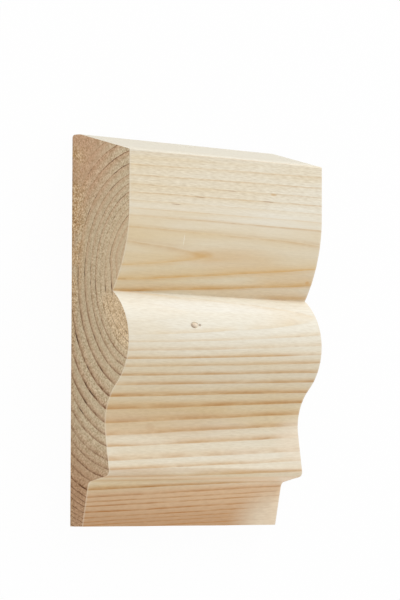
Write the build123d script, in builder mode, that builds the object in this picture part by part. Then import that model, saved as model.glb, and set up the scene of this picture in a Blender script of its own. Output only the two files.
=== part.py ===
"""A sawn length of solid pine moulding, lying on its flat back with the moulded face up.

The section is drawn the way the moulding would be nailed to a wall: local x is the height above
the thin bottom edge, local y is the distance out from the wall. From the bottom it has a splayed
foot, a nose over a rebate, a cove that flows into a half-round bead, a sharp quirk, a roundover,
a flat and a bevelled top edge. The length runs along X, the grain direction.
Millimetres, +Z up, origin under the middle of the piece, on the back face.
"""

import os
from math import cos, radians, sin, tan

from build123d import *

# Overall sizes of the planed stock
LENGTH = 65.0
WIDTH = 95.0
THICKNESS = 21.0

# Top edge: a narrow land square to the back, which rolls over into a bevel towards the face
TOP_LAND = 2.8
TOP_BEVEL = 15.0
BACK_ROUND = 0.8
LAND_ROUND = 8.0
ARRIS_ROUND = 0.3

# Upper part of the face: a flat, then a roundover that ends in the quirk
FACE_FLAT = 13.0
QUIRK_HEIGHT = 56.5
QUIRK_DEPTH = 6.0

# Bead level with the face, and the cove below it: heights are above the bottom edge
BEAD_HEIGHT = 44.7
COVE_HEIGHT = 24.8
COVE_DEPTH = 8.5

# Nose under the cove, with a rebate below it that clears the foot
NOSE_SLOPE = 9.0
NOSE_ROUND = 1.3
REBATE_RISE = 12.4
REBATE_ROUND = 1.6

# Foot: the thin bottom edge, thickening upwards to the rebate
FOOT_HEIGHT = 10.7
FOOT_THICKNESS = 4.4
FOOT_SPLAY = 11.8


def heading(degrees):
    """Unit step that climbs away from the wall by this angle as it goes up the section."""
    return Vector(cos(radians(degrees)), sin(radians(degrees)))


def radius_from(run, drop):
    """Radius of an arc that leaves a crown level and has fallen by drop after run."""
    return (run**2 + drop**2) / (2 * drop)


def crossing(start, start_way, other, other_way):
    """Point where the line from start along start_way meets the line through other."""
    between = other - start
    run = between.cross(other_way).Z / start_way.cross(other_way).Z
    return start + start_way * run


# Foot and rebate
foot_toe = Vector(0, FOOT_THICKNESS)
rebate = foot_toe + Vector(FOOT_HEIGHT, FOOT_HEIGHT * tan(radians(FOOT_SPLAY)))

# Bead: its crown is level with the face, and its upper side falls to the quirk
quirk = Vector(QUIRK_HEIGHT, THICKNESS - QUIRK_DEPTH)
bead_radius = radius_from(QUIRK_HEIGHT - BEAD_HEIGHT, QUIRK_DEPTH)
bead_crown = Vector(BEAD_HEIGHT, THICKNESS)
bead_centre = bead_crown - Vector(0, bead_radius)

# Cove: its lowest point is given, and its radius makes it run smoothly into the bead
cove_low = Vector(COVE_HEIGHT, THICKNESS - COVE_DEPTH)
across = cove_low - bead_centre
cove_radius = (across.length**2 - bead_radius**2) / (2 * (bead_radius - across.Y))
cove_centre = cove_low + Vector(0, cove_radius)
turn = bead_centre + (cove_centre - bead_centre) * (bead_radius / (bead_radius + cove_radius))

# Nose: a straight run that leaves the cove and ends where the rebate's side meets it
nose_start = cove_centre + heading(-90 - NOSE_SLOPE) * cove_radius
nose = crossing(nose_start, heading(180 - NOSE_SLOPE), rebate, heading(90 - REBATE_RISE))

# Top edge: the land, and the bevel that falls from it to the arris of the face
back_top = Vector(WIDTH, 0)
land_end = Vector(WIDTH, TOP_LAND)
arris = land_end + (THICKNESS - TOP_LAND) * Vector(-tan(radians(TOP_BEVEL)), 1)
flat_end = arris - Vector(FACE_FLAT, 0)

section_plane = Plane(origin=(0, -WIDTH / 2, 0), x_dir=(0, 1, 0), z_dir=(1, 0, 0))
eased_corners = [
    (back_top, BACK_ROUND),
    (land_end, LAND_ROUND),
    (arris, ARRIS_ROUND),
    (nose, NOSE_ROUND),
    (rebate, REBATE_ROUND),
]

with BuildPart() as moulding:
    with BuildSketch(section_plane) as section:
        with BuildLine():
            Polyline((0, 0), foot_toe, rebate, nose, nose_start)
            ThreePointArc(nose_start, cove_low, turn)
            ThreePointArc(turn, bead_crown, quirk)
            TangentArc(flat_end, quirk, tangent=(-1, 0))
            Polyline(flat_end, arris, land_end, back_top, (0, 0))
        make_face()
        for corner, radius in eased_corners:
            fillet(section.vertices().sort_by_distance(corner)[0], radius=radius)
    extrude(amount=LENGTH / 2, both=True)

moulding.part.label = "moulding"

os.makedirs("parts", exist_ok=True)
export_step(moulding.part, "parts/moulding.step")

print(f"bead radius {bead_radius:.2f}, cove radius {cove_radius:.2f}, nose at {nose.X:.2f}, {nose.Y:.2f}")
print(f"size {moulding.part.bounding_box().size}, volume {moulding.part.volume / 1000:.2f} cm3")
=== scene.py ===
# %% [markdown]
# A short length of pine moulding, lying on its flat back with the moulded face up.
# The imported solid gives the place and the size. It has the right section, but its arcs are coarse
# facets and it has no wood in it, so this lesson models the piece again with a fine skin, grows
# rings through it and planes, saws and dents it as the real one was.

from math import atan2, ceil, cos, radians, sin, tan

import bpy
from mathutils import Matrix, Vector


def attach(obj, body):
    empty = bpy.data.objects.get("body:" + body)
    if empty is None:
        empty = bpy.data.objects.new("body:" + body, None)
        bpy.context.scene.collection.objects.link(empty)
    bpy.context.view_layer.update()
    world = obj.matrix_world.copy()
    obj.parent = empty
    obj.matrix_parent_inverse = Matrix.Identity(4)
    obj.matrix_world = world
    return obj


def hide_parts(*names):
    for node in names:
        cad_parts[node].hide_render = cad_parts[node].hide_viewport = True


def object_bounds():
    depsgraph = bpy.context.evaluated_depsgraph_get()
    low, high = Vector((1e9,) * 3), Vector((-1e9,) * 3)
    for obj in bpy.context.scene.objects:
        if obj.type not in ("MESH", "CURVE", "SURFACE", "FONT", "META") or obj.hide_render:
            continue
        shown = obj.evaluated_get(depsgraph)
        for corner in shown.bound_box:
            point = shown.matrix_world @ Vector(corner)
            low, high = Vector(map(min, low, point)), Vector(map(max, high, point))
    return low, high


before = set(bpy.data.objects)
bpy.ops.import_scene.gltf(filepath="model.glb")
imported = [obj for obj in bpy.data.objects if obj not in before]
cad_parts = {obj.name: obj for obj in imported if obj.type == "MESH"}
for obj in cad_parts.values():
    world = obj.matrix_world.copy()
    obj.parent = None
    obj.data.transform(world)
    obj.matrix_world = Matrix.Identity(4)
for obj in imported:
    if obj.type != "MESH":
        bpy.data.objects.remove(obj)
cad_low, cad_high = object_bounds()

MM = 0.001
LENGTH, WIDTH, THICKNESS = (cad_high - cad_low) / MM
print(f"stock {LENGTH:.1f} x {WIDTH:.1f} x {THICKNESS:.1f} mm")

# %% [markdown]
# The section is what makes this a moulding. It is written as a joiner would set it out: heights
# are measured up from the thin bottom edge, depths out from the flat back, all in millimetres.
# The arcs are worked out from a few of these sizes, so that the cove runs into the bead without
# a corner and the roundover leaves the flat without one.

# %% Sizes of the section
TOP_LAND = 2.8
TOP_BEVEL = radians(15.0)
BACK_ROUND = 0.8
LAND_ROUND = 8.0
ARRIS_ROUND = 0.3
FACE_FLAT = 13.0
QUIRK_HEIGHT = 56.5
QUIRK_DEPTH = 6.0
BEAD_HEIGHT = 44.7
COVE_HEIGHT = 24.8
COVE_DEPTH = 8.5
NOSE_SLOPE = radians(9.0)
NOSE_ROUND = 1.3
REBATE_RISE = radians(12.4)
REBATE_ROUND = 1.6
FOOT_HEIGHT = 10.7
FOOT_THICKNESS = 4.4
FOOT_SPLAY = radians(11.8)


def crown_radius(run, drop):
    """Radius of an arc that leaves its crown level and has fallen by drop after run."""
    return (run**2 + drop**2) / (2 * drop)


toe = Vector((0, FOOT_THICKNESS))
rebate = toe + FOOT_HEIGHT * Vector((1, tan(FOOT_SPLAY)))

quirk = Vector((QUIRK_HEIGHT, THICKNESS - QUIRK_DEPTH))
bead_radius = crown_radius(QUIRK_HEIGHT - BEAD_HEIGHT, QUIRK_DEPTH)
bead_centre = Vector((BEAD_HEIGHT, THICKNESS - bead_radius))

cove_low = Vector((COVE_HEIGHT, THICKNESS - COVE_DEPTH))
across = cove_low - bead_centre
cove_radius = (across.length_squared - bead_radius**2) / (2 * (bead_radius - across.y))
cove_centre = cove_low + Vector((0, cove_radius))
turn = bead_centre.lerp(cove_centre, bead_radius / (bead_radius + cove_radius))

nose_start = cove_centre - cove_radius * Vector((sin(NOSE_SLOPE), cos(NOSE_SLOPE)))
nose_way = Vector((-cos(NOSE_SLOPE), sin(NOSE_SLOPE)))
rebate_way = Vector((sin(REBATE_RISE), cos(REBATE_RISE)))
nose = nose_start + nose_way * ((rebate - nose_start).cross(rebate_way) / nose_way.cross(rebate_way))

back_top = Vector((WIDTH, 0))
land_end = Vector((WIDTH, TOP_LAND))
arris = land_end + (THICKNESS - TOP_LAND) * Vector((-tan(TOP_BEVEL), 1))
flat_end = arris - Vector((FACE_FLAT, 0))
round_centre = flat_end - Vector((0, crown_radius(flat_end.x - quirk.x, QUIRK_DEPTH)))
print(f"bead radius {bead_radius:.2f} mm, cove radius {cove_radius:.2f} mm, nose at {tuple(nose)}")

# %% [markdown]
# The outline is drawn as with a pencil: a plane is merged into one point, straight runs are
# extruded from that point, and arcs are spun round their centres. A curve object could hold the
# same line, but points made here land exactly where the skin needs them: close together on the
# moulded side, which will carry the grain, and far apart on the back, which stays plain.

# %% A pencil that extrudes and spins
FINE_STEP = 0.3
BACK_STEP = 3.0


def placed(spot):
    """A point of the section as a place in the frame, on the left end."""
    return Vector((-LENGTH / 2, spot.x - WIDTH / 2, spot.y)) * MM


def start_at(spot):
    """Puts down the first point, and goes into edit mode."""
    bpy.ops.object.select_all(action="DESELECT")
    bpy.ops.mesh.primitive_plane_add(size=MM)
    bpy.context.object.name = "pine_moulding"
    bpy.ops.object.mode_set(mode="EDIT")
    bpy.ops.mesh.merge(type="CENTER")
    bpy.ops.transform.translate(value=placed(spot))
    return spot


def line_to(pen, spot, step=FINE_STEP):
    """Extrudes the last point to spot in short steps."""
    parts = ceil((spot - pen).length / step)
    stride = (placed(spot) - placed(pen)) / parts
    for _ in range(parts):
        bpy.ops.mesh.extrude_region_move(TRANSFORM_OT_translate={"value": stride})
    return spot


def arc_to(pen, centre, spot, step=FINE_STEP):
    """Spins the last point round centre to spot, the short way. Spin turns clockwise about its axis."""
    start, end = pen - centre, spot - centre
    sweep = atan2(start.cross(end), start.dot(end))
    steps = ceil(abs(sweep) * start.length / step)
    bpy.ops.mesh.spin(steps=steps, angle=-sweep, center=placed(centre), axis=(1, 0, 0))
    return spot


def corner_to(pen, corner, after, radius, step=FINE_STEP):
    """Runs towards corner and rounds it, ready to go on towards after."""
    back = (pen - corner).normalized()
    on = (after - corner).normalized()
    half = back.angle(on) / 2
    centre = corner + (back + on).normalized() * (radius / sin(half))
    pen = line_to(pen, corner + back * (radius / tan(half)))
    return arc_to(pen, centre, corner + on * (radius / tan(half)), step)


# %% Draw the section
MERGE_DISTANCE = 0.01

heel = Vector((0, 0))
pen = start_at(heel)
pen = line_to(pen, toe)
pen = corner_to(pen, rebate, nose, REBATE_ROUND)
pen = corner_to(pen, nose, nose_start, NOSE_ROUND)
pen = line_to(pen, nose_start)
pen = arc_to(pen, cove_centre, turn)
pen = arc_to(pen, bead_centre, quirk)
pen = arc_to(pen, round_centre, flat_end)
pen = corner_to(pen, arris, land_end, ARRIS_ROUND, step=FINE_STEP / 2)
pen = corner_to(pen, land_end, back_top, LAND_ROUND)
pen = corner_to(pen, back_top, heel, BACK_ROUND)
pen = line_to(pen, heel, step=BACK_STEP)
bpy.ops.mesh.select_all(action="SELECT")
bpy.ops.mesh.remove_doubles(threshold=MERGE_DISTANCE * MM)
bpy.ops.mesh.edge_face_add()
moulding = bpy.context.object
moulding.update_from_editmode()
print(f"outline of {len(moulding.data.vertices)} points")

# %% [markdown]
# The length of stock is that face pushed along the grain. A saw never leaves a knife edge, so the
# rim of each end is bevelled by a hair, while the ends are still two plain faces.

# %% Saw it to length
RIM_EASE = 0.15
END_FACING = 0.99


def select_faces(wanted):
    """Selects only the faces of the moulding for which wanted(face) is true, in edit mode."""
    bpy.ops.mesh.select_all(action="DESELECT")
    bpy.ops.object.mode_set(mode="OBJECT")
    for face in moulding.data.polygons:
        face.select = wanted(face)
    bpy.ops.object.mode_set(mode="EDIT")


def is_end(face):
    """True for a face that looks along the grain."""
    return abs(face.normal.x) > END_FACING


bpy.ops.mesh.extrude_region_move(TRANSFORM_OT_translate={"value": (LENGTH * MM, 0, 0)})
bpy.ops.mesh.select_all(action="SELECT")
bpy.ops.mesh.normals_make_consistent(inside=False)
bpy.ops.mesh.select_mode(type="FACE")
select_faces(is_end)
bpy.ops.mesh.region_to_loop()
bpy.ops.mesh.bevel(offset=RIM_EASE * MM, segments=2, profile=0.5)
bpy.ops.mesh.select_mode(type="FACE")
moulding.update_from_editmode()
print(f"solid of {len(moulding.data.polygons)} faces")

# %% [markdown]
# To carry relief, the skin needs points. The ends are cut into small squares by bisecting them
# over and over, with the rest hidden so that only they are cut. The long sides are divided
# along their length: grain runs lengthwise, so those cells can be twice as long as they are wide.

# %% Cut the ends into squares
END_CELL = 0.4


def cut_across(axis, low, high, cell):
    """Bisects what isn't hidden by planes square to the axis, a cell apart."""
    count = ceil((high - low) / cell)
    normal = Vector((0, 0, 0))
    normal[axis] = 1
    for index in range(1, count):
        bpy.ops.mesh.select_all(action="SELECT")
        spot = normal * (low + (high - low) * index / count)
        bpy.ops.mesh.bisect(plane_co=spot, plane_no=normal)


select_faces(is_end)
bpy.ops.mesh.hide(unselected=True)
cut_across(1, cad_low.y, cad_high.y, END_CELL * MM)
cut_across(2, cad_low.z, cad_high.z, END_CELL * MM)
bpy.ops.mesh.reveal(select=False)
moulding.update_from_editmode()
print(f"ends cut, {len(moulding.data.polygons)} faces")

# %% Divide the sides along the grain
LONG_CELL = 0.65

bpy.ops.object.mode_set(mode="OBJECT")
mesh = moulding.data
for edge in mesh.edges:
    first, last = (mesh.vertices[index].co for index in edge.vertices)
    edge.select = abs(first.x - last.x) > LENGTH * MM / 2
bpy.ops.object.mode_set(mode="EDIT")
bpy.ops.mesh.select_mode(type="EDGE")
bpy.ops.mesh.subdivide(number_cuts=ceil(LENGTH / LONG_CELL) - 1)
bpy.ops.mesh.select_mode(type="FACE")
moulding.update_from_editmode()
print(f"sides divided, {len(moulding.data.polygons)} faces")

# %% [markdown]
# One small flaw breaks the bead: an oval blister, where a chip was pressed into the wood by the
# planer. With its groove it is under three millimetres long, so its patch of skin is divided
# further. Dividing the whole skin as finely would make a mesh too heavy to use.

# %% A finer patch for the blister
BLISTER = Vector((-10.5, 1.3, 20.4))
PATCH_RADIUS = 3.2
PATCH_CUTS = 4

select_faces(lambda face: (face.center - BLISTER * MM).length < PATCH_RADIUS * MM)
bpy.ops.mesh.subdivide(number_cuts=PATCH_CUTS)
bpy.ops.object.mode_set(mode="OBJECT")
print(f"patch divided, {len(moulding.data.polygons)} faces")

# %% [markdown]
# Pine is rings round a pith. This piece was cut beside the pith, which passes just in front of the
# face and drifts away from it along the length, so the rings lie as arcs on the ends, straight
# lines on the sides and pointed arches where they graze the surface. The tree leaned, which bends
# the outer rings away from true circles, and near the heart they are pinched in a little.
# The growth record lists the rings from the inside out: how wide each is, how dark its late summer
# wood grew, and how warm its colour is. A wood texture node would give even rings, so one recipe of
# nodes turns a place into its ring instead. The relief of the skin and the two finishes all use it,
# so a dark line on a side meets the same line on the end and stands where the skin stands proud.

# %% The growth record
PITH_HEIGHT = 13.7
PITH_DEPTH = 31.6
PITH_DRIFT_HEIGHT = 0.0277
PITH_DRIFT_DEPTH = 0.0395
LEAN_DEPTH = 0.00368
LEAN_HEIGHT = 0.00127
HEART_PINCH = 0.9
CORE_RADIUS = 9.6
GROWTH_RECORD = [
    # width in mm, darkness of the late wood, warmth of the whole ring
    (1.6, 0.40, 0.52), (1.8, 0.85, 0.60), (1.85, 0.95, 0.66), (1.95, 1.00, 0.36), (1.4, 0.45, 0.26),
    (1.7, 0.35, 0.20), (1.75, 0.88, 0.34), (1.8, 0.55, 0.40), (2.15, 0.82, 0.36), (2.5, 0.82, 0.40),
    (3.05, 1.00, 0.52), (2.7, 1.00, 0.66), (2.55, 0.85, 0.62), (2.15, 0.66, 0.40), (2.0, 0.70, 0.24),
    (2.5, 0.56, 0.18), (1.7, 0.60, 0.20), (1.9, 0.90, 0.46), (1.75, 0.60, 0.52), (1.95, 1.00, 0.50),
    (1.35, 0.58, 0.40), (0.9, 0.70, 0.40), (0.85, 0.75, 0.40), (1.15, 1.00, 0.40), (1.0, 0.90, 0.40),
    (0.75, 1.00, 0.40), (0.65, 0.90, 0.40), (0.8, 1.00, 0.40), (0.8, 0.95, 0.40), (0.8, 1.00, 0.40),
    (0.8, 0.95, 0.40), (0.8, 0.95, 0.40),
]
RING_REACH = 65.0

ring_edges = []
radius = CORE_RADIUS
for width, _, _ in GROWTH_RECORD:
    radius += width
    ring_edges.append(radius)
ring_count = len(ring_edges)
print(f"{ring_count} rings, from {ring_edges[0]:.1f} to {ring_edges[-1]:.1f} mm from the pith")

# %% [markdown]
# A node tree is long to write out, so each kind of node that the recipe needs gets a short name. All
# of them exist in geometry trees and in shader trees, which lets one recipe serve both.

# %% Short names for nodes


def connect(tree, value, socket):
    """Links a socket, or sets a plain value."""
    if isinstance(value, bpy.types.NodeSocket):
        tree.links.new(value, socket)
    else:
        socket.default_value = value


def calc(tree, operation, *values):
    """A Math node."""
    node = tree.nodes.new("ShaderNodeMath")
    node.operation = operation
    for value, socket in zip(values, node.inputs):
        connect(tree, value, socket)
    return node.outputs[0]


def times(tree, first, second):
    """Two values multiplied."""
    return calc(tree, "MULTIPLY", first, second)


def swing(tree, value, reach, middle=0.0):
    """A 0 to 1 value turned into one that swings about middle, by half of reach each way."""
    return calc(tree, "MULTIPLY_ADD", calc(tree, "SUBTRACT", value, 0.5), reach, middle)


def vector_calc(tree, operation, first, second):
    """A Vector Math node."""
    node = tree.nodes.new("ShaderNodeVectorMath")
    node.operation = operation
    connect(tree, first, node.inputs[0])
    connect(tree, second, node.inputs["Scale" if operation == "SCALE" else 1])
    return node.outputs[0]


def split(tree, vector):
    """The three parts of a vector."""
    node = tree.nodes.new("ShaderNodeSeparateXYZ")
    connect(tree, vector, node.inputs[0])
    return node.outputs[0], node.outputs[1], node.outputs[2]


def gather(tree, *parts):
    """A vector from three parts."""
    node = tree.nodes.new("ShaderNodeCombineXYZ")
    for part, socket in zip(parts, node.inputs):
        connect(tree, part, socket)
    return node.outputs[0]


def noise(tree, vector, pace, detail=2.0, roughness=0.5):
    """Smooth noise from 0 to 1. The pace is how many blobs go to a millimetre on each axis."""
    node = tree.nodes.new("ShaderNodeTexNoise")
    connect(tree, vector_calc(tree, "MULTIPLY", vector, pace), node.inputs["Vector"])
    node.inputs["Scale"].default_value = 1.0
    node.inputs["Detail"].default_value = detail
    node.inputs["Roughness"].default_value = roughness
    return node.outputs[0]


def ramp(tree, value, low, high, smooth=True):
    """0 below low, 1 above high. With low above high it falls instead."""
    node = tree.nodes.new("ShaderNodeMapRange")
    node.interpolation_type = "SMOOTHSTEP" if smooth else "LINEAR"
    connect(tree, value, node.inputs["Value"])
    connect(tree, low, node.inputs["From Min"])
    connect(tree, high, node.inputs["From Max"])
    return node.outputs[0]


def away_from(tree, mm, middle, reach):
    """How far a place is from the middle of a mark, where 1 is the mark's edge."""
    node = tree.nodes.new("ShaderNodeVectorMath")
    node.operation = "LENGTH"
    offset = vector_calc(tree, "SUBTRACT", mm, middle)
    connect(tree, vector_calc(tree, "DIVIDE", offset, reach), node.inputs[0])
    return node.outputs["Value"]


# %% The recipe for rings
SLOW_WANDER = 0.35
SLOW_PACE = (0.016, 0.07, 0.07)
QUICK_WANDER = 0.30
QUICK_PACE = (0.06, 0.4, 0.4)
PINCH_BELOW = (-11.0, -3.0)
PINCH_ABOVE = (5.0, 0.0)
PINCH_RINGS = (18.4, 16.0)
SIDE_TURN = (5.0, -7.0)
RING_SHIFT = 17.0
LATE_FULL = 0.95
LATE_CURVE = 1.5


def growth_curve(tree, radius, levels):
    """A curve through one level at each ring's outer edge, read at a radius in millimetres."""
    node = tree.nodes.new("ShaderNodeFloatCurve")
    points = node.mapping.curves[0].points
    for edge, level in zip(ring_edges, levels):
        points.new(edge / RING_REACH, level)
    points[0].location = (0, 0)
    for point in points:
        point.handle_type = "VECTOR"
    node.mapping.update()
    connect(tree, calc(tree, "DIVIDE", radius, RING_REACH), node.inputs["Value"])
    return node.outputs[0]


def ring_recipe(tree, place):
    """What a place in the log is: its ring, the season in that ring's year, and the ring's habits."""
    mm = vector_calc(tree, "SCALE", place, 1 / MM)
    x, y, z = split(tree, mm)
    across = calc(tree, "SUBTRACT", y, calc(tree, "MULTIPLY_ADD", x, PITH_DRIFT_HEIGHT, PITH_HEIGHT))
    out = calc(tree, "SUBTRACT", z, calc(tree, "MULTIPLY_ADD", x, PITH_DRIFT_DEPTH, PITH_DEPTH))
    lean = times(tree, across, across)
    across = calc(tree, "MULTIPLY_ADD", lean, LEAN_HEIGHT, across)
    out = calc(tree, "MULTIPLY_ADD", lean, LEAN_DEPTH, out)
    slow = swing(tree, noise(tree, mm, SLOW_PACE, detail=1.0), SLOW_WANDER)
    quick = swing(tree, noise(tree, mm, QUICK_PACE, detail=3.0, roughness=0.6), QUICK_WANDER)
    square = calc(tree, "MULTIPLY_ADD", across, across, times(tree, out, out))
    plain_radius = calc(tree, "SQRT", square)
    radius = calc(tree, "ADD", plain_radius, calc(tree, "ADD", slow, quick))
    pinch = times(tree, ramp(tree, across, *PINCH_BELOW), ramp(tree, across, *PINCH_ABOVE))
    pinch = times(tree, pinch, ramp(tree, plain_radius, *PINCH_RINGS))
    radius = calc(tree, "MULTIPLY_ADD", pinch, HEART_PINCH, radius)
    counts = growth_curve(tree, radius, [(index + 1) / ring_count for index in range(ring_count)])
    year = times(tree, counts, ring_count)
    ring = calc(tree, "FLOOR", year)
    bend = times(tree, calc(tree, "ARCTAN2", across, out), radius)
    return {
        "mm": mm,
        "radius": radius,
        "ring": ring,
        "season": calc(tree, "SUBTRACT", year, ring),
        "darkness": growth_curve(tree, radius, [darkness for _, darkness, _ in GROWTH_RECORD]),
        "warmth": growth_curve(tree, radius, [warmth for _, _, warmth in GROWTH_RECORD]),
        "side": ramp(tree, across, *SIDE_TURN),
        "along": gather(tree, x, bend, times(tree, ring, RING_SHIFT)),
    }


def late_wood(tree, season, start, sharp):
    """0 in spring wood, rising to 1 at the year's end and falling off at once."""
    rise = ramp(tree, season, start, LATE_FULL)
    fall = ramp(tree, season, 1.0, sharp)
    return times(tree, calc(tree, "POWER", rise, LATE_CURVE), fall)


# %% [markdown]
# Planed pine isn't flat: the hard late wood stands a few hundredths of a millimetre proud of the
# soft spring wood. On the ends the saw tears the spring wood out, deeper towards the back, where
# the blade left. The blister is a low dome with a groove round it, and a pit beside it. Geometry
# Nodes push each point out along its normal by the recipe's answer, and the modifier is then
# applied. Painting this with bump alone would leave the mesh blank.

# %% Relief of the skin
PLANED_RIDGE = 0.035
SAWN_RIDGE = 0.05
RIDGE_START = 0.55
RIDGE_FALL = 0.9
TEAR_DEPTH = 0.12
TEAR_BAND = 5.0
TEAR_PACE = (1.7, 1.7, 1.7)
TEAR_MIDDLE = 0.62
BLISTER_REACH = (0.85, 0.52, 0.60)
BLISTER_RISE = 0.40
BLISTER_CROWN = 0.3
GROOVE_DEPTH = 0.26
GROOVE_PLACE = 1.25
GROOVE_REACH = 0.4
PIT = (-8.8, 1.3, 20.4)
PIT_REACH = (0.55, 0.45, 0.6)
PIT_DEPTH = 0.30
END_NORMALS = (0.7, 0.98)
BACK_NORMALS = (-0.7, -0.3)

relief = bpy.data.node_groups.new("pine relief", "GeometryNodeTree")
relief.interface.new_socket("Geometry", in_out="INPUT", socket_type="NodeSocketGeometry")
relief.interface.new_socket("Geometry", in_out="OUTPUT", socket_type="NodeSocketGeometry")
place = relief.nodes.new("GeometryNodeInputPosition").outputs[0]
normal = relief.nodes.new("GeometryNodeInputNormal").outputs[0]
normal_x, _, normal_z = split(relief, normal)
log = ring_recipe(relief, place)
_, _, depth_mm = split(relief, log["mm"])
ridge = times(relief, late_wood(relief, log["season"], RIDGE_START, RIDGE_FALL), log["darkness"])

tear = noise(relief, log["mm"], TEAR_PACE)
at_back = ramp(relief, depth_mm, TEAR_BAND, 0.0)
tear_size = calc(relief, "MULTIPLY_ADD", at_back, TEAR_DEPTH, TEAR_DEPTH / 3)
torn = times(relief, calc(relief, "SUBTRACT", tear, TEAR_MIDDLE), tear_size)
sawn_height = calc(relief, "MULTIPLY_ADD", ridge, SAWN_RIDGE, torn)

blister_far = away_from(relief, log["mm"], BLISTER, BLISTER_REACH)
dome = times(relief, ramp(relief, blister_far, 1.0, BLISTER_CROWN), BLISTER_RISE)
from_groove = calc(relief, "ABSOLUTE", calc(relief, "SUBTRACT", blister_far, GROOVE_PLACE))
groove = times(relief, ramp(relief, from_groove, GROOVE_REACH, 0.0), -GROOVE_DEPTH)
pit_far = away_from(relief, log["mm"], PIT, PIT_REACH)
pit = times(relief, ramp(relief, pit_far, 1.0, 0.0), -PIT_DEPTH)
dent = calc(relief, "ADD", calc(relief, "ADD", dome, groove), pit)
planed_height = calc(relief, "MULTIPLY_ADD", ridge, PLANED_RIDGE, dent)

sawn = ramp(relief, calc(relief, "ABSOLUTE", normal_x), *END_NORMALS)
off_back = ramp(relief, normal_z, *BACK_NORMALS)
rise = calc(relief, "SUBTRACT", sawn_height, planed_height)
height = calc(relief, "MULTIPLY_ADD", sawn, rise, planed_height)
height = times(relief, height, times(relief, off_back, MM))

source = relief.nodes.new("NodeGroupInput")
result = relief.nodes.new("NodeGroupOutput")
moved = relief.nodes.new("GeometryNodeSetPosition")
relief.links.new(source.outputs[0], moved.inputs["Geometry"])
relief.links.new(vector_calc(relief, "SCALE", normal, height), moved.inputs["Offset"])
relief.links.new(moved.outputs[0], result.inputs[0])
print(f"relief of {len(relief.nodes)} nodes")

# %% Mark the ends, then apply the relief
PLANED, SAWN = 0, 1
SAWN_FACING = 0.9
SMOOTH_ANGLE = radians(25)

for face in moulding.data.polygons:
    face.material_index = SAWN if abs(face.normal.x) > SAWN_FACING else PLANED
bpy.ops.object.modifier_add(type="NODES")
skin = moulding.modifiers[-1]
skin.node_group = relief
bpy.ops.object.modifier_apply(modifier=skin.name)
bpy.ops.object.shade_smooth_by_angle(angle=SMOOTH_ANGLE)
print(f"relief applied, {len(moulding.data.polygons)} faces")

# %% [markdown]
# The recipe becomes a shader group, so that both finishes place the same rings. It gives masks
# only: the season's line with its tail and its edge, a softer band behind it, the ring's warmth,
# dark dashes where resin sits in the rings, and noises for fibres and blotches. Each finish chooses
# its own colours for them.

# %% Growth rings as a shader group
LINE_FALL = 0.93
WIDENING_RINGS = (62.0, 48.0)
UNEVEN_PACE = (0.07, 0.3, 1.0)
UNEVEN_LEVELS = (0.2, 0.7)
TAIL_SEASON = (0.24, 0.0)
BAND_SEASON = (0.25, 0.9)
EDGE_SEASON = (0.80, 0.92)
RESIN_PACE = (0.14, 0.5, 1.0)
RESIN_LEVELS = (0.63, 0.69)
MOOD_PACE = (1.0, 1.0, 7.3)
FIBRE_PACE = (0.07, 4.0, 4.0)
FLECK_PACE = (0.5, 3.0, 3.0)
BLOTCH_PACE = (0.04, 0.35, 0.35)
RING_MASKS = (
    "Line", "Tail", "Edge", "Band", "Resin", "Warmth",
    "Side", "Mood", "Fibre", "Fleck", "Blotch", "Radius",
)


def build_ring_group():
    """The node group that both finishes use."""
    group = bpy.data.node_groups.new("growth rings", "ShaderNodeTree")
    group.interface.new_socket("Place", in_out="INPUT", socket_type="NodeSocketVector")
    group.interface.new_socket("Line Start", in_out="INPUT", socket_type="NodeSocketFloat")
    group.interface.new_socket("Side Widens", in_out="INPUT", socket_type="NodeSocketFloat")
    for name in RING_MASKS:
        group.interface.new_socket(name, in_out="OUTPUT", socket_type="NodeSocketFloat")
    inputs = group.nodes.new("NodeGroupInput")
    outputs = group.nodes.new("NodeGroupOutput")
    log = ring_recipe(group, inputs.outputs["Place"])
    widening = times(group, log["side"], ramp(group, log["radius"], *WIDENING_RINGS))
    widening = times(group, widening, inputs.outputs["Side Widens"])
    start = calc(group, "SUBTRACT", inputs.outputs["Line Start"], widening)
    line = late_wood(group, log["season"], start, LINE_FALL)
    uneven = noise(group, log["along"], UNEVEN_PACE, detail=3.0, roughness=0.65)
    strength = times(group, log["darkness"], ramp(group, uneven, *UNEVEN_LEVELS))
    band = times(group, ramp(group, log["season"], *BAND_SEASON), log["darkness"])
    edge = times(group, ramp(group, log["season"], *EDGE_SEASON), line)
    resin = ramp(group, noise(group, log["along"], RESIN_PACE, detail=1.0), *RESIN_LEVELS)
    masks = {
        "Line": times(group, line, strength),
        "Tail": times(group, ramp(group, log["season"], *TAIL_SEASON), strength),
        "Edge": edge,
        "Band": band,
        "Resin": times(group, resin, edge),
        "Warmth": log["warmth"],
        "Side": log["side"],
        "Mood": noise(group, gather(group, 0.0, 0.0, log["ring"]), MOOD_PACE, detail=0.0),
        "Fibre": noise(group, log["mm"], FIBRE_PACE, detail=3.0),
        "Fleck": noise(group, log["mm"], FLECK_PACE, detail=1.0),
        "Blotch": noise(group, log["mm"], BLOTCH_PACE),
        "Radius": log["radius"],
    }
    for name in RING_MASKS:
        group.links.new(masks[name], outputs.inputs[name])
    return group


ring_group = build_ring_group()
print(f"ring group with {len(ring_group.nodes)} nodes")

# %% [markdown]
# Both finishes start alike: a material, its shader, and the ring group on Object coordinates, so
# that the rings run through the wood and aren't wrapped round it. Colours are picked as a screen
# shows them, and turned into the linear values that a shader takes.

# %% Start of a wood material


def srgb(red, green, blue):
    """A colour as a screen shows it, 0 to 255, as the linear values that a shader takes."""
    linear = []
    for value in (red, green, blue):
        part = value / 255
        linear.append(part / 12.92 if part <= 0.04045 else ((part + 0.055) / 1.055) ** 2.4)
    return linear + [1.0]


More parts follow.
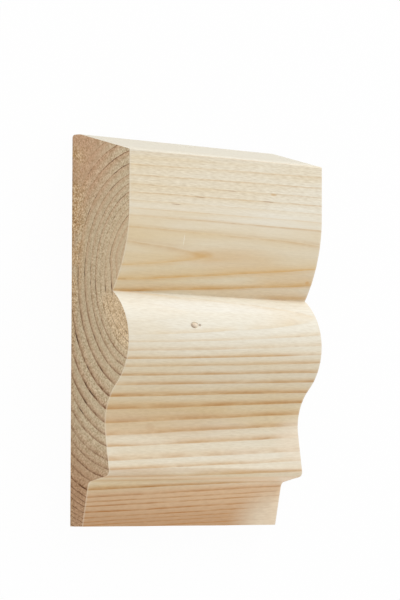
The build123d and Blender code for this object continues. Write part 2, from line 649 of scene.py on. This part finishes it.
def blend(tree, share, first, second):
    """Goes from the first colour to the second as share goes from 0 to 1."""
    node = tree.nodes.new("ShaderNodeMix")
    node.data_type = "RGBA"
    connect(tree, share, node.inputs["Factor"])
    connect(tree, first, node.inputs["A"])
    connect(tree, second, node.inputs["B"])
    return node.outputs["Result"]


def start_wood(name, line_start, side_widens):
    """A material with the ring group on Object coordinates, its shader and the place in millimetres."""
    material = bpy.data.materials.new(name)
    material.use_nodes = True
    tree = material.node_tree
    shader = tree.nodes["Principled BSDF"]
    place = tree.nodes.new("ShaderNodeTexCoord").outputs["Object"]
    rings = tree.nodes.new("ShaderNodeGroup")
    rings.node_tree = ring_group
    rings.inputs["Line Start"].default_value = line_start
    rings.inputs["Side Widens"].default_value = side_widens
    tree.links.new(place, rings.inputs["Place"])
    return material, tree, shader, rings.outputs, vector_calc(tree, "SCALE", place, 1 / MM)


def bump(tree, shader, height, distance):
    """Feeds a height, in units of distance, to the shader's normal."""
    node = tree.nodes.new("ShaderNodeBump")
    node.inputs["Distance"].default_value = distance
    tree.links.new(height, node.inputs["Height"])
    tree.links.new(node.outputs["Normal"], shader.inputs["Normal"])


# %% [markdown]
# Where wood is darker it is also browner, because blue goes first and red last. A plain multiply
# would turn it grey, so a second shared group scales the three colours by different amounts.

# %% Shade that darkens to brown
RED_HOLDS = 0.8
BLUE_SWINGS = 1.25


def build_shade_group():
    """Scales a colour by a shade near 1. Darker turns browner, lighter turns creamier."""
    group = bpy.data.node_groups.new("wood shade", "ShaderNodeTree")
    group.interface.new_socket("Colour", in_out="INPUT", socket_type="NodeSocketColor")
    group.interface.new_socket("Shade", in_out="INPUT", socket_type="NodeSocketFloat")
    group.interface.new_socket("Colour", in_out="OUTPUT", socket_type="NodeSocketColor")
    inputs = group.nodes.new("NodeGroupInput").outputs
    outputs = group.nodes.new("NodeGroupOutput").inputs
    change = calc(group, "SUBTRACT", inputs["Shade"], 1.0)
    red = calc(group, "MULTIPLY_ADD", change, RED_HOLDS, 1.0)
    blue = calc(group, "MULTIPLY_ADD", change, BLUE_SWINGS, 1.0)
    scale = gather(group, red, inputs["Shade"], blue)
    group.links.new(vector_calc(group, "MULTIPLY", inputs["Colour"], scale), outputs["Colour"])
    return group


shade_group = build_shade_group()
print(f"shade group with {len(shade_group.nodes)} nodes")


def shaded(tree, colour, shade):
    """A colour scaled by the shade group."""
    node = tree.nodes.new("ShaderNodeGroup")
    node.node_tree = shade_group
    tree.links.new(colour, node.inputs["Colour"])
    tree.links.new(shade, node.inputs["Shade"])
    return node.outputs["Colour"]


# %% [markdown]
# The planed sides are pale cream with honey lines. Spring wood is nearly one colour, and what
# gives it life is faint: long fibres, slow blotches, rings that are warmer than their neighbours,
# and a pale rim at the ends, partly fuzz from the saw and partly a painted highlight on the eased
# edge. On the bead the warmth and the lines fade, partly as paler wood and partly as a painted
# sheen. The lines are strong on the side of the log that became the thin edge and weak on the
# other. One long ramp could hold all of this, but separate masks for the parts of the face let
# each part be tuned by itself.

# %% Where the parts of the face lie
BEAD_TOP = QUIRK_HEIGHT - WIDTH / 2
QUIRK_BLUR = 0.3
ARCH_HEIGHT = (17.2, 20.0)
NEAR_END = (12.0, -28.0)
# distances from the pith at which each mask begins and is full
BEAD_HEART_RINGS = (15.9, 15.2)
BEAD_RINGS = (20.3, 16.4)
FLAT_RINGS = (16.5, 20.0)
WOOL_RINGS = (17.0, 23.0)
ARRIS_LINE_RINGS = (26.0, 30.0)
ARRIS_RINGS = (29.3, 30.9)
PALE_RINGS = (29.5, 34.0)
FOOT_RINGS = (49.5, 51.5)
FOOT_LINE_RINGS = (50.5, 51.5)
FOOT_EDGE_RINGS = (51.5, 58.5)


def inverse(tree, mask):
    """1 where the mask is 0, and 0 where it is 1."""
    return calc(tree, "SUBTRACT", 1.0, mask)


def weakened(tree, value, mask, loss):
    """A value that loses this share of itself where the mask is 1."""
    return times(tree, value, calc(tree, "MULTIPLY_ADD", mask, -loss, 1.0))


def face_zones(tree, rings, mm):
    """Masks for the parts of the moulded face."""
    along, height, _ = split(tree, mm)
    radius = rings["Radius"]
    upper = inverse(tree, rings["Side"])
    on_flat = ramp(tree, radius, *FLAT_RINGS)
    off_flat = inverse(tree, on_flat)
    under_quirk = ramp(tree, height, BEAD_TOP + QUIRK_BLUR, BEAD_TOP - QUIRK_BLUR)
    over_quirk = ramp(tree, height, BEAD_TOP, BEAD_TOP + QUIRK_BLUR)
    # the bead mask: its wood is paler, and a painted sheen fades its bands, lines and warmth
    bead = times(tree, under_quirk, ramp(tree, radius, *BEAD_RINGS))
    return {
        "along": along,
        "near": ramp(tree, along, *NEAR_END, smooth=False),
        "upper": upper,
        "flat": on_flat,
        "wool": times(tree, upper, ramp(tree, radius, *WOOL_RINGS)),
        "pale": times(tree, upper, ramp(tree, radius, *PALE_RINGS)),
        "arris": times(tree, upper, ramp(tree, radius, *ARRIS_RINGS)),
        "arris lines": times(tree, upper, ramp(tree, radius, *ARRIS_LINE_RINGS)),
        "arch": times(tree, ramp(tree, height, *ARCH_HEIGHT), off_flat),
        "round": times(tree, over_quirk, off_flat),
        "bead": bead,
        "bead heart": times(tree, bead, ramp(tree, radius, *BEAD_HEART_RINGS)),
        "foot": ramp(tree, radius, *FOOT_RINGS),
        "foot lines": ramp(tree, radius, *FOOT_LINE_RINGS),
        "foot edge": ramp(tree, radius, *FOOT_EDGE_RINGS),
    }


print(f"quirk {BEAD_TOP:.1f} mm above the middle of the width")

# %% Ground of the planed wood
SPRING_WOOD = srgb(234, 228, 212)
PALE_WOOD = srgb(213, 206, 188)
HONEY_WOOD = srgb(218, 188, 131)
GOLDEN_BAND = srgb(222, 182, 106)
TAN_BAND = srgb(220, 178, 113)
FOOT_WOOD = srgb(228, 194, 154)
FOOT_EDGE = srgb(203, 160, 116)
UPPER_SIDE_COOLS = 0.38
BLOTCH_WARMTH = 0.5
NEAR_END_WARMTH = 0.17
NEAR_END_FADES = 0.65
ARRIS_COOLS = 0.7
# the bead is less warm, partly as paler wood and partly as a painted sheen
BEAD_PALE_AND_SHEEN_COOLS = 0.92
BAND_SHARE = 0.45
UPPER_SIDE_BANDS = 0.33
WOOL_HIDES_BANDS = 0.6
ARCH_HIDES_BANDS = 0.6


def planed_ground(tree, rings, zones):
    """The wood between the lines: its warmth, then the bands, the foot and the pale top edge."""
    warmth = weakened(tree, rings["Warmth"], zones["upper"], UPPER_SIDE_COOLS)
    warmth = calc(tree, "ADD", warmth, swing(tree, rings["Blotch"], BLOTCH_WARMTH))
    near = weakened(tree, zones["near"], rings["Side"], NEAR_END_FADES)
    warmth = calc(tree, "MULTIPLY_ADD", near, NEAR_END_WARMTH, warmth)
    warmth = weakened(tree, warmth, zones["arris"], ARRIS_COOLS)
    warmth = weakened(tree, warmth, zones["bead"], BEAD_PALE_AND_SHEEN_COOLS)
    ground = blend(tree, warmth, SPRING_WOOD, HONEY_WOOD)
    hidden = calc(tree, "MAXIMUM", zones["bead"], times(tree, zones["wool"], WOOL_HIDES_BANDS))
    share = calc(tree, "MULTIPLY_ADD", zones["upper"], UPPER_SIDE_BANDS - BAND_SHARE, BAND_SHARE)
    share = weakened(tree, times(tree, share, inverse(tree, hidden)), zones["arch"], ARCH_HIDES_BANDS)
    band_tone = blend(tree, rings["Side"], GOLDEN_BAND, TAN_BAND)
    ground = blend(tree, times(tree, rings["Band"], share), ground, band_tone)
    ground = blend(tree, zones["foot"], ground, FOOT_WOOD)
    ground = blend(tree, zones["foot edge"], ground, FOOT_EDGE)
    return blend(tree, zones["pale"], ground, PALE_WOOD)


print(f"bands cover up to {BAND_SHARE:.0%} of the ground")

# %% Lines of the planed wood
GOLDEN_LINE = srgb(220, 172, 98)
FLAT_LINE = srgb(198, 158, 104)
BROWN_LINE = srgb(186, 130, 58)
BEAD_LINE = srgb(218, 180, 112)
FOOT_LINE = srgb(190, 130, 64)
UPPER_SIDE_LINES = 0.80
LOWER_SIDE_LINES = 0.92
# on the bead the lines fade under a painted sheen, most near the heart, and partly as paler wood
BEAD_PALE_AND_SHEEN_FADES = 0.6
BEAD_HEART_SHEEN_FADES = 0.75
FOOT_GAINS = 0.6
ARCH_FADES = 0.15
ARRIS_FADES = 0.65


def line_colour(tree, rings, zones):
    """The colour of the late wood, from golden near the heart to brown on the thin side."""
    ink = blend(tree, calc(tree, "MAXIMUM", zones["flat"], zones["arch"]), GOLDEN_LINE, FLAT_LINE)
    ink = blend(tree, times(tree, rings["Side"], rings["Side"]), ink, BROWN_LINE)
    ink = blend(tree, zones["bead"], ink, BEAD_LINE)
    return blend(tree, zones["foot lines"], ink, FOOT_LINE)


def line_share(tree, zones):
    """How much of the ground the lines cover."""
    rise = UPPER_SIDE_LINES - LOWER_SIDE_LINES
    share = calc(tree, "MULTIPLY_ADD", zones["upper"], rise, LOWER_SIDE_LINES)
    share = weakened(tree, share, zones["bead"], BEAD_PALE_AND_SHEEN_FADES)
    share = weakened(tree, share, zones["bead heart"], BEAD_HEART_SHEEN_FADES)
    share = calc(tree, "MULTIPLY_ADD", zones["foot"], FOOT_GAINS, share)
    share = weakened(tree, share, zones["arch"], ARCH_FADES)
    return weakened(tree, share, zones["arris lines"], ARRIS_FADES)


print(f"lines at {UPPER_SIDE_LINES:.0%} on the thick side, {LOWER_SIDE_LINES:.0%} on the thin side")

# %% [markdown]
# Some marks have a place of their own on the real piece: dashes of resin and a scratch on the flat,
# a few stains, and the blister. Others are painted light and shade: a golden tint round the pointed
# arch, partly warmer wood and partly painted light reflected from the bead, painted shade along the
# nose and in the cove, painted light on the rebate, under the nose and at the right ends of the foot
# and the cove, painted highlights on the bead, and painted highlight and shade on the blister. There
# are also some pale streaks. Painting them by hand would need an image, so each is a soft oval: its
# middle, its reach along, across and out, its colour, and how strongly it covers.

# %% Marks on the planed face
RESIN = srgb(146, 92, 48)
# partly the warmer wood near the heart, partly painted warm light reflected from the bead
HEART_TONE_AND_BOUNCE = srgb(214, 168, 98)
# painted shade for the hollows of the blister's groove and pit
PAINTED_DENT_SHADE = srgb(150, 112, 80)
MARK_CORE = 0.35
PLANED_MARKS = [
    # resin dashes on the flat
    ((-17.4, 30.2, 21.0), (2.2, 0.12, 1.0), RESIN, 0.7),
    ((-9.5, 32.4, 21.0), (2.6, 0.12, 1.0), RESIN, 0.6),
    ((1.2, 34.6, 21.0), (2.2, 0.12, 1.0), RESIN, 0.6),
    ((13.5, 32.7, 21.0), (2.6, 0.14, 1.0), RESIN, 0.7),
    # a stain on the flat, one at the right end of the roundover, and the scratch
    ((15.4, 34.6, 21.0), (1.5, 0.45, 1.0), srgb(204, 160, 98), 0.55),
    ((30.7, 13.5, 17.4), (0.9, 0.6, 1.0), srgb(214, 160, 92), 0.6),
    ((-14.0, 21.8, 20.2), (0.16, 2.0, 1.0), srgb(246, 240, 228), 0.6),
    # painted light on the right ends of the foot and the cove, then a freckle, a painted shadow and a
    # streak in the cove
    ((33.0, -47.0, 5.5), (19.0, 11.0, 9.0), srgb(238, 220, 192), 0.85),
    ((32.5, -26.5, 12.0), (11.0, 9.0, 6.0), srgb(234, 218, 194), 0.7),
    ((-17.9, -23.4, 12.5), (2.0, 1.1, 1.5), srgb(190, 150, 108), 0.3),
    ((-20.0, -22.0, 12.5), (44.0, 6.5, 6.0), srgb(194, 154, 118), 0.22),
    ((-21.0, -26.7, 13.0), (16.0, 1.8, 2.0), srgb(236, 226, 204), 0.5),
    # golden tint under the arch and along the quirk, partly warmer wood near the heart and partly
    # painted warm light reflected from the bead into the shade
    ((4.0, 17.6, 19.0), (22.0, 5.0, 3.0), HEART_TONE_AND_BOUNCE, 0.3),
    ((24.0, 14.2, 17.7), (18.0, 4.2, 3.5), HEART_TONE_AND_BOUNCE, 0.3),
    ((8.0, 10.4, 16.0), (60.0, 2.2, 1.6), srgb(212, 164, 90), 0.22),
    # the nose and the rebate: a pale streak on the nose, painted bounce light under the nose, and
    # painted shade along the edge of the nose
    ((20.0, -33.0, 14.0), (24.0, 1.0, 1.5), srgb(240, 232, 214), 0.5),
    ((28.0, -36.5, 11.0), (22.0, 5.0, 6.0), srgb(232, 212, 184), 0.4),
    ((8.0, -35.3, 11.6), (60.0, 1.3, 2.6), srgb(244, 216, 182), 0.45),
    ((0.0, -33.8, 14.2), (90.0, 0.8, 1.2), srgb(188, 150, 112), 0.3),
    # the tip of the arch
    ((-7.0, 18.7, 19.4), (5.2, 1.2, 2.0), srgb(206, 158, 86), 0.4),
    # pale and warm patches on the bead, the slope and beside the quirk
    ((27.0, -3.8, 20.9), (16.0, 2.2, 2.0), srgb(236, 229, 210), 0.4),
    ((15.0, -30.0, 13.5), (12.0, 3.2, 2.0), srgb(238, 228, 208), 0.35),
    # a painted highlight on the upper side of the bead
    ((-3.0, 6.3, 18.0), (30.0, 2.6, 2.4), srgb(238, 236, 229), 0.4),
    ((-27.0, -0.8, 20.9), (14.0, 4.0, 2.0), srgb(224, 206, 172), 0.3),
    ((16.0, 8.2, 15.8), (40.0, 0.9, 1.5), srgb(240, 234, 216), 0.6),
    ((28.0, 9.5, 15.3), (16.0, 0.9, 1.0), srgb(208, 158, 84), 0.3),
    # the rebate lit by painted bounce light, painted shade at the left end of the nose, and a darker
    # left end of the cove
    ((20.0, -36.3, 9.6), (26.0, 2.2, 2.2), srgb(238, 214, 184), 0.75),
    ((-25.0, -34.7, 13.2), (20.0, 1.6, 2.4), srgb(204, 168, 128), 0.4),
    ((-27.0, -21.4, 12.9), (12.0, 1.3, 1.5), srgb(212, 186, 154), 0.35),
    # the blister: painted shade in its groove, set towards the lower left, a painted highlight on its
    # pad, set towards the upper right, and painted shade in the pit
    (BLISTER - Vector((0.35, 0.12, 0.0)), (1.45, 0.85, 1.2), PAINTED_DENT_SHADE, 0.65),
    (BLISTER + Vector((0.15, 0.06, 0.0)), (1.3, 0.72, 1.2), srgb(252, 234, 210), 0.95),
    (PIT, (0.5, 0.42, 0.8), PAINTED_DENT_SHADE, 0.6),
]


def add_marks(tree, mm, colour):
    """Lays the marks over a colour, one after the other."""
    for middle, reach, tone, share in PLANED_MARKS:
        mark = ramp(tree, away_from(tree, mm, middle, reach), 1.0, MARK_CORE)
        colour = blend(tree, times(tree, mark, share), colour, tone)
    return colour


print(f"{len(PLANED_MARKS)} marks")

# %% [markdown]
# Now the planed finish is put together as the wood was: ground first, lines over it, resin in the
# lines, then the marks. The last step shades it with fibres and with the flecks of torn wool that
# the planer raised on the flat. The late wood is hard and dense, so it shines a little more.

# %% Planed pine
RIM_FUZZ_AND_HIGHLIGHT = srgb(240, 230, 212)
PLANED_LINE_START = 0.72
PLANED_SIDE_WIDENS = 0.32
TAIL_SHARE = 0.5
RESIN_SHARE = 0.25
FLECK_SHADE = 0.12
LOWER_SIDE_FLECKS = 0.14
WOOL_FLECKS = 0.40
FIBRE_SHADE = 0.12
NEAR_FOOT_SHADE = 0.14
RIM_REACH = 0.6
RIM_FULL = 0.1
RIM_SHARE = 0.3
PLANED_ROUGHNESS = 0.50
LINE_SHINE = 0.08
FIBRE_BUMP = 0.03


def planed_shade(tree, rings, zones):
    """A shade near 1 from fibres and flecks, darker at the near end of the foot."""
    wool = times(tree, zones["wool"], inverse(tree, zones["pale"]))
    size = calc(tree, "MULTIPLY_ADD", rings["Side"], LOWER_SIDE_FLECKS, FLECK_SHADE)
    flecks = swing(tree, rings["Fleck"], calc(tree, "MULTIPLY_ADD", wool, WOOL_FLECKS, size))
    shade = calc(tree, "ADD", swing(tree, rings["Fibre"], FIBRE_SHADE, 1.0), flecks)
    return calc(tree, "MULTIPLY_ADD", times(tree, zones["near"], zones["foot"]), -NEAR_FOOT_SHADE, shade)


def planed_pine():
    """The finish of every long side."""
    material, tree, shader, rings, mm = start_wood("planed pine", PLANED_LINE_START, PLANED_SIDE_WIDENS)
    zones = face_zones(tree, rings, mm)
    share = line_share(tree, zones)
    tail = times(tree, rings["Tail"], times(tree, zones["round"], TAIL_SHARE))
    line = times(tree, calc(tree, "MAXIMUM", rings["Line"], tail), share)
    colour = blend(tree, line, planed_ground(tree, rings, zones), line_colour(tree, rings, zones))
    colour = blend(tree, times(tree, rings["Resin"], times(tree, share, RESIN_SHARE)), colour, RESIN)
    colour = shaded(tree, add_marks(tree, mm, colour), planed_shade(tree, rings, zones))
    # a pale rim at each end: fuzz from the saw and a painted highlight on the eased edge
    from_middle = calc(tree, "ABSOLUTE", zones["along"])
    rim = ramp(tree, from_middle, LENGTH / 2 - RIM_REACH, LENGTH / 2 - RIM_FULL)
    colour = blend(tree, times(tree, rim, RIM_SHARE), colour, RIM_FUZZ_AND_HIGHLIGHT)
    tree.links.new(colour, shader.inputs["Base Color"])
    roughness = calc(tree, "MULTIPLY_ADD", rings["Line"], -LINE_SHINE, PLANED_ROUGHNESS)
    tree.links.new(roughness, shader.inputs["Roughness"])
    bump(tree, shader, rings["Fibre"], FIBRE_BUMP * MM)
    return material


planed = planed_pine()
print(f"{planed.name}: {len(planed.node_tree.nodes)} nodes")

# %% [markdown]
# The sawn ends look down the fibres, which drink in the light, so they are tan and rough. Each
# ring goes from grey tan to pinkish brown and ends in a thin dark line, with black dashes where
# resin filled it. The saw leaves a speckle of torn fibre ends, stronger in some rings than in
# others, and coarse and orange towards the back, where it smears the lines of the upper corner.

# %% Where the parts of a sawn end lie
END_UPPER = (-10.0, 25.0)
UNDER_QUIRK = (BEAD_TOP + 1.0, BEAD_TOP - 3.0)
CORNER_HEIGHT = (22.0, 42.0)
CORNER_DEPTH = (20.0, 4.0)
FRONT_DEPTH = (6.0, 14.0)
INNER_RINGS = (22.0, 17.0)
HEART_RINGS = (17.6, 16.8)
HEART_CORE_RINGS = (16.0, 15.2)
TORN_PATCH_PACE = (0.2, 0.15, 0.25)
TORN_PATCH_LEVELS = (0.25, 0.5)
TORN_REACH = 1.5
TORN_REACH_ABOVE = 6.0
TORN_FULL_DEPTH = 0.5
TORN_TOP = (46.5, 42.0)
TORN_LESS_BELOW = 0.6
BEAD_TEAR = 0.4


def end_zones(tree, rings, mm):
    """Masks for the parts of a sawn end."""
    _, height, depth = split(tree, mm)
    radius = rings["Radius"]
    upper = ramp(tree, height, *END_UPPER)
    reach = calc(tree, "MULTIPLY_ADD", upper, TORN_REACH_ABOVE, TORN_REACH)
    patches = ramp(tree, noise(tree, mm, TORN_PATCH_PACE), *TORN_PATCH_LEVELS)
    torn = times(tree, ramp(tree, depth, reach, TORN_FULL_DEPTH), patches)
    torn = times(tree, torn, ramp(tree, height, *TORN_TOP))
    torn = weakened(tree, torn, inverse(tree, upper), TORN_LESS_BELOW)
    inner = ramp(tree, radius, *INNER_RINGS)
    under_quirk = ramp(tree, height, *UNDER_QUIRK)
    bead_front = times(tree, inner, under_quirk)
    heart = times(tree, ramp(tree, radius, *HEART_RINGS), under_quirk)
    return {
        "height": height,
        "upper": upper,
        "under quirk": under_quirk,
        "corner": times(tree, ramp(tree, height, *CORNER_HEIGHT), ramp(tree, depth, *CORNER_DEPTH)),
        "front": times(tree, upper, ramp(tree, depth, *FRONT_DEPTH)),
        "inner": inner,
        "heart": calc(tree, "MAXIMUM", heart, ramp(tree, radius, *HEART_CORE_RINGS)),
        "torn": torn,
        "rough": calc(tree, "MAXIMUM", torn, times(tree, bead_front, BEAD_TEAR)),
    }


print(f"torn {TORN_REACH:.1f} mm deep at the foot, {TORN_REACH + TORN_REACH_ABOVE:.1f} mm at the top")

# %% Ground and lines of a sawn end
END_WOOD = srgb(211, 191, 158)
END_INNER = srgb(228, 203, 166)
END_SUMMER = srgb(205, 174, 140)
END_OUTER = srgb(192, 154, 119)
END_CORNER = srgb(204, 164, 130)
TORN_DARK = srgb(192, 154, 108)
TORN_LIGHT = srgb(231, 203, 164)
INNER_SHARE = 0.25
INNER_UNDER_QUIRK = 0.65
OUTER_RINGS = (38.0, 52.0)
CORNER_SHARE = 0.8
GRAIN_PACE = (1.9, 1.9, 1.9)
GRAIN_LEVELS = (0.36, 0.64)
END_LINES = 0.7
SIDE_GAINS = 0.35
FOOT_END_RINGS = (48.0, 52.0)
FOOT_END_GAINS = 0.6
FRONT_GAINS = 0.6
HEART_FADES = 0.8
CORNER_FADES = 0.8
TORN_FADES = 0.6


def end_ground(tree, rings, zones, mm):
    """The tan wood between the lines, with its torn grains."""
    ground = blend(tree, rings["Band"], END_WOOD, END_SUMMER)
    share = calc(tree, "MULTIPLY_ADD", zones["under quirk"], INNER_UNDER_QUIRK, INNER_SHARE)
    ground = blend(tree, times(tree, zones["inner"], share), ground, END_INNER)
    ground = blend(tree, ramp(tree, rings["Radius"], *OUTER_RINGS), ground, END_OUTER)
    ground = blend(tree, times(tree, zones["corner"], CORNER_SHARE), ground, END_CORNER)
    grains = ramp(tree, noise(tree, mm, GRAIN_PACE, detail=1.0), *GRAIN_LEVELS)
    return blend(tree, zones["rough"], ground, blend(tree, grains, TORN_DARK, TORN_LIGHT))


def end_line_share(tree, rings, zones):
    """How clearly the lines show on the end."""
    share = calc(tree, "MULTIPLY_ADD", rings["Side"], SIDE_GAINS, END_LINES)
    at_foot = ramp(tree, rings["Radius"], *FOOT_END_RINGS)
    share = calc(tree, "MULTIPLY_ADD", at_foot, FOOT_END_GAINS, share)
    share = calc(tree, "MULTIPLY_ADD", zones["front"], FRONT_GAINS, share)
    share = weakened(tree, share, zones["heart"], HEART_FADES)
    share = weakened(tree, share, zones["corner"], CORNER_FADES)
    return weakened(tree, share, zones["torn"], TORN_FADES)


# %% Resin in the lines of a sawn end
END_RESIN = srgb(64, 42, 30)
END_RESIN_SHARE = 0.9
END_RESIN_FADES = 0.5
END_RESIN_HEIGHT = (-12.0, -28.0)
DASH_CORE = 0.4
DASH_REACH_ALONG = 6.0
END_DASHES = [
    # height and depth of the middle, reach
    (37.8, 15.8, 1.3), (33.6, 15.1, 2.0), (31.0, 18.5, 2.2), (28.0, 6.7, 1.5), (15.3, 5.2, 3.0),
    (13.2, 2.7, 3.2), (-2.0, 2.0, 2.0), (-15.1, 8.0, 1.8), (-17.0, 5.9, 1.5), (-19.3, 4.5, 1.8),
]


def add_end_resin(tree, rings, zones, mm, colour):
    """Resin scattered in the lines, then the dashes that have a place of their own on the near end."""
    low = ramp(tree, zones["height"], *END_RESIN_HEIGHT)
    share = calc(tree, "MULTIPLY_ADD", low, -END_RESIN_FADES, END_RESIN_SHARE)
    colour = blend(tree, times(tree, rings["Resin"], share), colour, END_RESIN)
    for height, depth, reach in END_DASHES:
        far = away_from(tree, mm, (-LENGTH / 2, height, depth), (DASH_REACH_ALONG, reach, reach))
        dash = times(tree, ramp(tree, far, 1.0, DASH_CORE), rings["Edge"])
        colour = blend(tree, dash, colour, END_RESIN)
    return colour


print(f"{len(END_DASHES)} dashes of resin")

# %% [markdown]
# The sawn finish is put together in the same order as the planed one. A cut across the fibres
# scatters light, so it is rougher and shines less, and its speckle also drives the bump.

# %% Sawn end grain
END_LINE = srgb(112, 70, 38)
SAWN_LINE_START = 0.85
SAWN_SIDE_WIDENS = 0.22
FINE_PACE = (2.6, 2.6, 2.6)
COARSE_PACE = (1.1, 1.1, 1.1)
MOOD_LEVELS = (0.35, 0.65)
SPECKLE = 0.95
MOOD_SPECKLE = 0.8
ROUGH_SPECKLE = 0.6
COARSE_SPECKLE = 0.2
UPPER_CALM = 0.1
CALM_FADES = 0.5
SAWN_ROUGHNESS = 0.85
SAWN_SHINE = 0.25
SAWN_BUMP = 0.15


def sawn_shade(tree, rings, zones, mm, fine):
    """A shade near 1 from the speckle, which is busier in some rings and calm near the heart."""
    busy = calc(tree, "MULTIPLY_ADD", ramp(tree, rings["Mood"], *MOOD_LEVELS), MOOD_SPECKLE, SPECKLE)
    calm = times(tree, zones["inner"], inverse(tree, zones["under quirk"]))
    calm = calc(tree, "MAXIMUM", calm, times(tree, zones["upper"], UPPER_CALM))
    busy = weakened(tree, busy, calm, CALM_FADES)
    busy = calc(tree, "MULTIPLY_ADD", zones["rough"], ROUGH_SPECKLE, busy)
    coarse = noise(tree, mm, COARSE_PACE, detail=1.0)
    return calc(tree, "ADD", swing(tree, fine, busy, 1.0), swing(tree, coarse, COARSE_SPECKLE))


def sawn_pine():
    """The finish of both sawn ends."""
    material, tree, shader, rings, mm = start_wood("sawn pine", SAWN_LINE_START, SAWN_SIDE_WIDENS)
    zones = end_zones(tree, rings, mm)
    line = times(tree, rings["Line"], end_line_share(tree, rings, zones))
    colour = blend(tree, line, end_ground(tree, rings, zones, mm), END_LINE)
    colour = add_end_resin(tree, rings, zones, mm, colour)
    fine = noise(tree, mm, FINE_PACE, detail=1.0)
    colour = shaded(tree, colour, sawn_shade(tree, rings, zones, mm, fine))
    tree.links.new(colour, shader.inputs["Base Color"])
    shader.inputs["Roughness"].default_value = SAWN_ROUGHNESS
    shader.inputs["Specular IOR Level"].default_value = SAWN_SHINE
    bump(tree, shader, fine, SAWN_BUMP * MM)
    return material


sawn_end = sawn_pine()
print(f"{sawn_end.name}: {len(sawn_end.node_tree.nodes)} nodes")

# %% [markdown]
# The faces were marked for one finish or the other, so the finishes go into the mesh in that order.
# The new mesh then stands for the imported solid and rides on its body.

# %% Dress the moulding and set it on its body
moulding.data.materials.append(planed)
moulding.data.materials.append(sawn_end)
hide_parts("moulding")
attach(moulding, "root")
print(f"{moulding.name} stands for the packed solid")

# %% [markdown]
# The studio is a pale floor under an even white sky, with one large soft lamp beyond the thick
# edge. The sky alone would leave the moulding flat: the lamp is what brightens the bevel and the
# upper side of the bead, and leaves the undersides a little darker. A weak second lamp on the
# other side keeps the rebate from going grey.

# %% Floor and sky
FLOOR_SIZE = 6.0
SKY_STRENGTH = 0.76
FLOOR_WHITE = 0.96
FLOOR_COLOUR = (0.9, 0.9, 0.9, 1.0)
SKY_COLOUR = (1.0, 1.0, 1.0, 1.0)

bpy.ops.object.select_all(action="DESELECT")
bpy.ops.mesh.primitive_plane_add(size=FLOOR_SIZE)
floor = bpy.context.object
floor.name = "floor"


def seen_rays(tree):
    """1 for rays from the camera and for what gloss or glass shows of it."""
    light_path = tree.nodes.new("ShaderNodeLightPath").outputs
    seen = calc(tree, "MAXIMUM", light_path["Is Camera Ray"], light_path["Is Glossy Ray"])
    return calc(tree, "MAXIMUM", seen, light_path["Is Transmission Ray"])


def floor_finish():
    """A pale floor that is seen as nearly white, and keeps a faint shadow."""
    material = bpy.data.materials.new("studio floor")
    material.use_nodes = True
    tree = material.node_tree
    shader = tree.nodes["Principled BSDF"]
    shader.inputs["Base Color"].default_value = FLOOR_COLOUR
    shader.inputs["Roughness"].default_value = 1.0
    shader.inputs["Specular IOR Level"].default_value = 0.0
    glow = tree.nodes.new("ShaderNodeEmission")
    both = tree.nodes.new("ShaderNodeMixShader")
    tree.links.new(times(tree, seen_rays(tree), FLOOR_WHITE), both.inputs[0])
    tree.links.new(shader.outputs[0], both.inputs[1])
    tree.links.new(glow.outputs[0], both.inputs[2])
    tree.links.new(both.outputs[0], tree.nodes["Material Output"].inputs["Surface"])
    return material


floor.data.materials.append(floor_finish())

sky = bpy.data.worlds.new("studio sky")
sky.use_nodes = True
sky_tree = sky.node_tree
backdrop = sky_tree.nodes["Background"]
backdrop.inputs["Color"].default_value = SKY_COLOUR
level = calc(sky_tree, "MULTIPLY_ADD", seen_rays(sky_tree), 1.0 - SKY_STRENGTH, SKY_STRENGTH)
sky_tree.links.new(level, backdrop.inputs["Strength"])
bpy.context.scene.world = sky
print(f"floor {FLOOR_SIZE} m, sky at {SKY_STRENGTH}")

# %% Two soft lamps
LAMP_SIZE = 0.5
KEY_PLACE = Vector((0.39, 0.76, 0.42))
KEY_POWER = 3.7
FILL_PLACE = Vector((-0.15, -0.85, 0.35))
FILL_POWER = 0.6


def add_lamp(name, place, power):
    """A square soft lamp that looks at the origin."""
    bpy.ops.object.light_add(type="AREA", location=place)
    lamp = bpy.context.object
    lamp.name = name
    lamp.data.size = LAMP_SIZE
    lamp.data.energy = power
    lamp.rotation_euler = (-place).to_track_quat("-Z", "Y").to_euler()
    print(f"{name} of {power} W at {tuple(place)}")


add_lamp("key lamp", KEY_PLACE, KEY_POWER)
add_lamp("fill lamp", FILL_PLACE, FILL_POWER)

# %% [markdown]
# The camera looks down on the lying piece from beyond its left end, with the thick edge at the
# top of the picture. Its place and lens come from fitting the outline to the photograph: a long
# lens from about three quarters of a metre.

# %% Camera
PICTURE_LONG_SIDE = 600
FOCAL_PIXELS = 3134.9
CAMERA_PLACE = Vector((-526.5, -36.2, 576.8)) * MM
CAMERA_TURN = (3.287, -42.933, 0.202)
CLIP_START = 0.01

bpy.ops.object.camera_add(location=CAMERA_PLACE)
camera = bpy.context.object
camera.rotation_mode = "ZXY"
camera.rotation_euler = [radians(angle) for angle in CAMERA_TURN]
camera.data.lens = FOCAL_PIXELS * camera.data.sensor_width / PICTURE_LONG_SIDE
camera.data.clip_start = CLIP_START
bpy.context.scene.camera = camera
bpy.context.scene.view_settings.view_transform = "Standard"
print(f"lens {camera.data.lens:.1f} mm")
